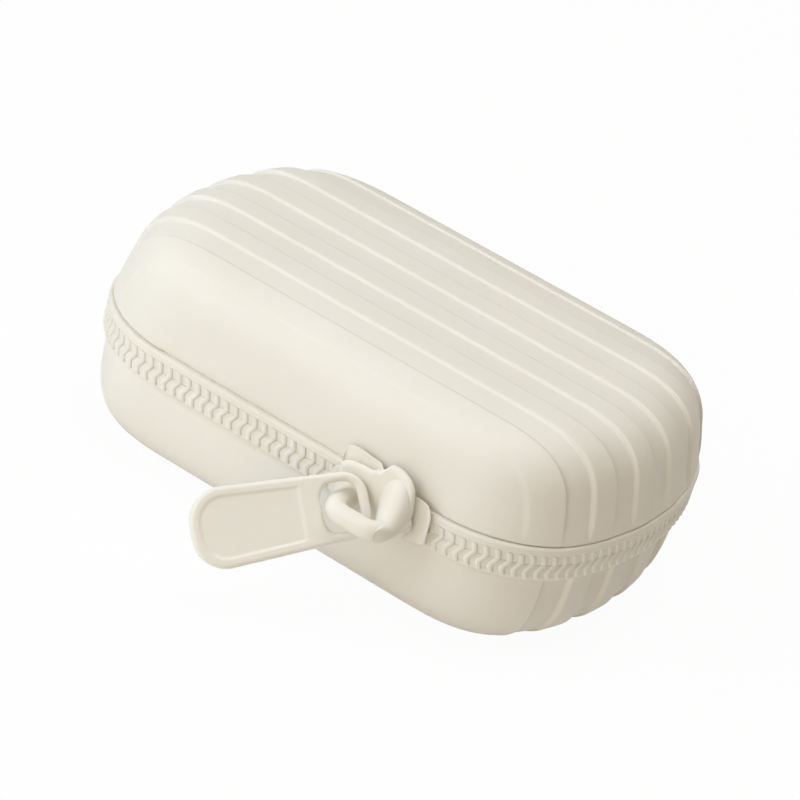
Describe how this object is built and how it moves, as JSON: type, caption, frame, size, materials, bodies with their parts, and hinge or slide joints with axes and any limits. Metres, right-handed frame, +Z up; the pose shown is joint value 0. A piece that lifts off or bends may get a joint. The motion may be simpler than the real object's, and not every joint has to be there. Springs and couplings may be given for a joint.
{
  "type": "travel soap box",
  "caption": "Oblong soft-moulded travel case for a bar of soap, with ribbed shells, a zip round its middle, a sliding pull with a flat tab and a flexible hinge at the back.",
  "frame": {"origin": "middle of the flat face that the closed case stands on", "axes": "+X along the case's length, to the right seen from the front; +Z up; the zip pull is on the -Y side and the hinge on the +Y side"},
  "size_m": [0.12, 0.1073, 0.0446],
  "materials": {
    "shell": "matt moulded silicone",
    "tape": "matt moulded silicone",
    "teeth": "satin moulded plastic",
    "slider": "satin moulded plastic",
    "tab": "matt moulded silicone"
  },
  "bodies": {
    "base": {"base_shell": "shell", "base_tape": "tape", "base_teeth": "teeth", "base_end_stops": "teeth", "hinge_web": "shell"},
    "lid": {"lid_shell": "shell", "lid_tape": "tape", "lid_teeth": "teeth", "lid_end_stops": "teeth"},
    "slider": {"slider_body": "slider", "slider_bridge": "slider"},
    "tab": {"pull_tab": "tab"}
  },
  "joints": [
    {"name": "lid_hinge", "type": "hinge", "parent": "base", "child": "lid", "pos_m": [0, 0.039, 0.0218], "axis": [-1, 0, 0], "range_deg": [0, 180], "deforming": ["hinge_web", "base_teeth", "lid_teeth"]},
    {"name": "slider_slide", "type": "slide", "parent": "base", "child": "slider", "axis": [1, 0, 0], "range_m": [-0.044, 0.0035], "deforming": ["base_teeth", "lid_teeth"]},
    {"name": "tab_swing", "type": "hinge", "parent": "slider", "child": "tab", "pos_m": [0.01714, -0.04816, 0.0218], "axis": [0.7071, -0.7071, 0], "range_deg": [-6, 14]}
  ]
}
